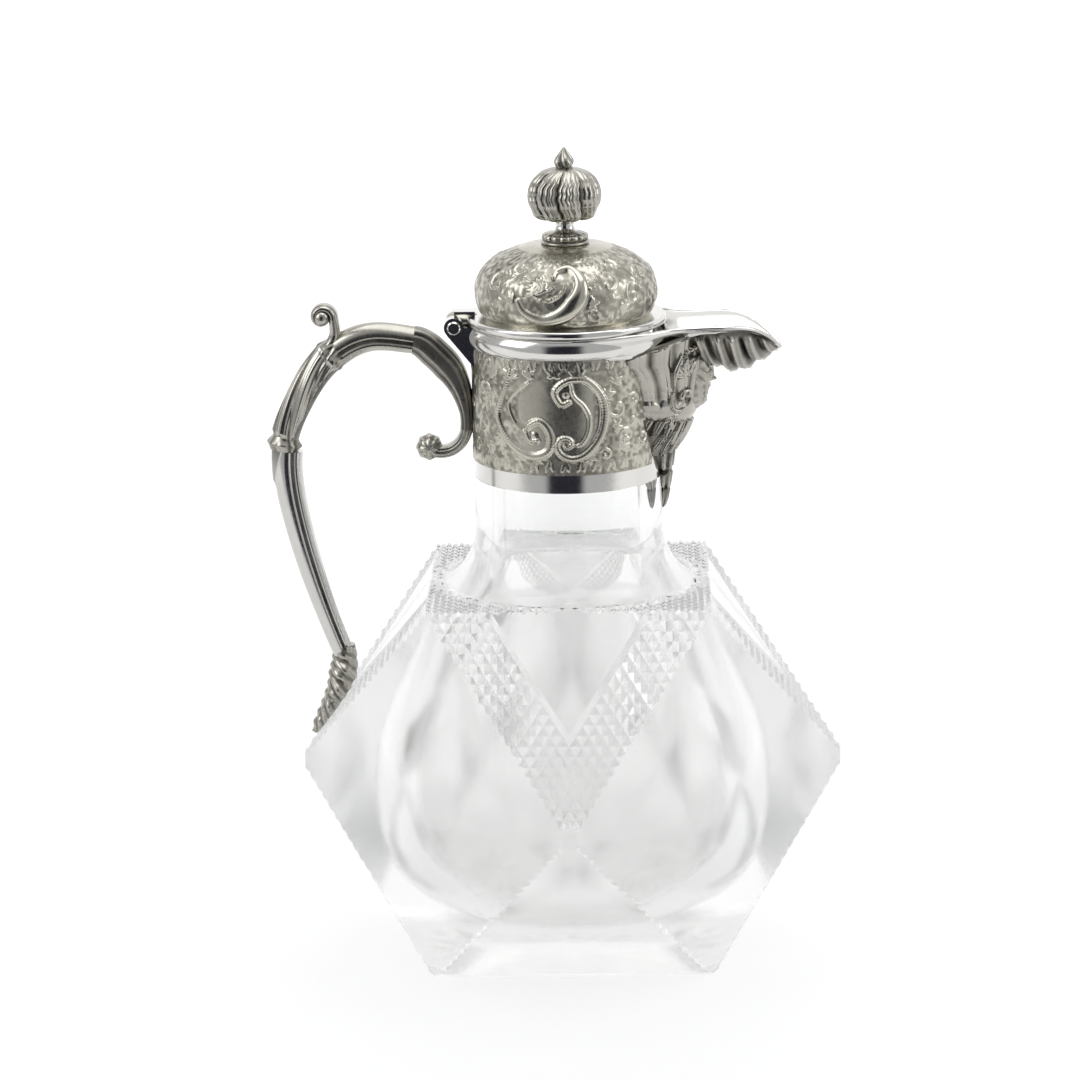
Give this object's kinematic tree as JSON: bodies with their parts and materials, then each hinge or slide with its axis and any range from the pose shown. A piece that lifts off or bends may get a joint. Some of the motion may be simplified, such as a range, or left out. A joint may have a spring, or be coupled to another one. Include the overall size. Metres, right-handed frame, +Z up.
{
  "type": "claret jug",
  "caption": "Faceted cut-glass claret jug with a silver collar, beaked spout with a mask, scroll handle and a domed lid hinged behind the rim.",
  "frame": {"origin": "centre of the glass base, on the surface that the jug stands on", "axes": "+Z up, the spout points along +X and the handle stands on the -X side, XZ is the plane of symmetry"},
  "size_m": [0.1742, 0.167, 0.2495],
  "materials": {
    "cut_glass": "clear cut lead glass, polished",
    "chased_silver": "silver plate, chased on a matted ground, darkened in the recesses",
    "polished_silver": "silver plate, polished",
    "cast_silver": "cast silver plate, darkened in the recesses",
    "brass": "plain",
    "plaster": "set plaster, matt"
  },
  "bodies": {
    "jug": {"glass_body": "cut_glass", "neck_plaster": "plaster", "collar_sleeve": "chased_silver", "collar_rim": "polished_silver", "spout_channel": "polished_silver", "handle_stem": "polished_silver", "hinge_pin": "polished_silver", "hinge_block": "polished_silver", "spout_apron": "cast_silver", "spout_mask": "cast_silver", "spout_lip_leaf": "cast_silver", "spout_drop": "cast_silver", "handle_bracket": "cast_silver", "handle_arch": "cast_silver", "handle_thumb_scroll": "cast_silver", "handle_foot": "cast_silver"},
    "lid": {"lid_dome": "chased_silver", "lid_flange": "polished_silver", "lid_bezel": "polished_silver", "finial_stem": "polished_silver", "lid_hinge_leaf": "polished_silver", "finial_base": "cast_silver", "finial_bulb": "cast_silver", "finial_tip": "cast_silver", "finial_stud": "brass", "finial_washer": "brass", "finial_nut": "brass"}
  },
  "joints": [
    {"name": "lid_hinge", "type": "hinge", "parent": "jug", "child": "lid", "pos_m": [-0.034, 0, 0.196], "axis": [0, -1, 0], "range_deg": [0, 95]}
  ]
}
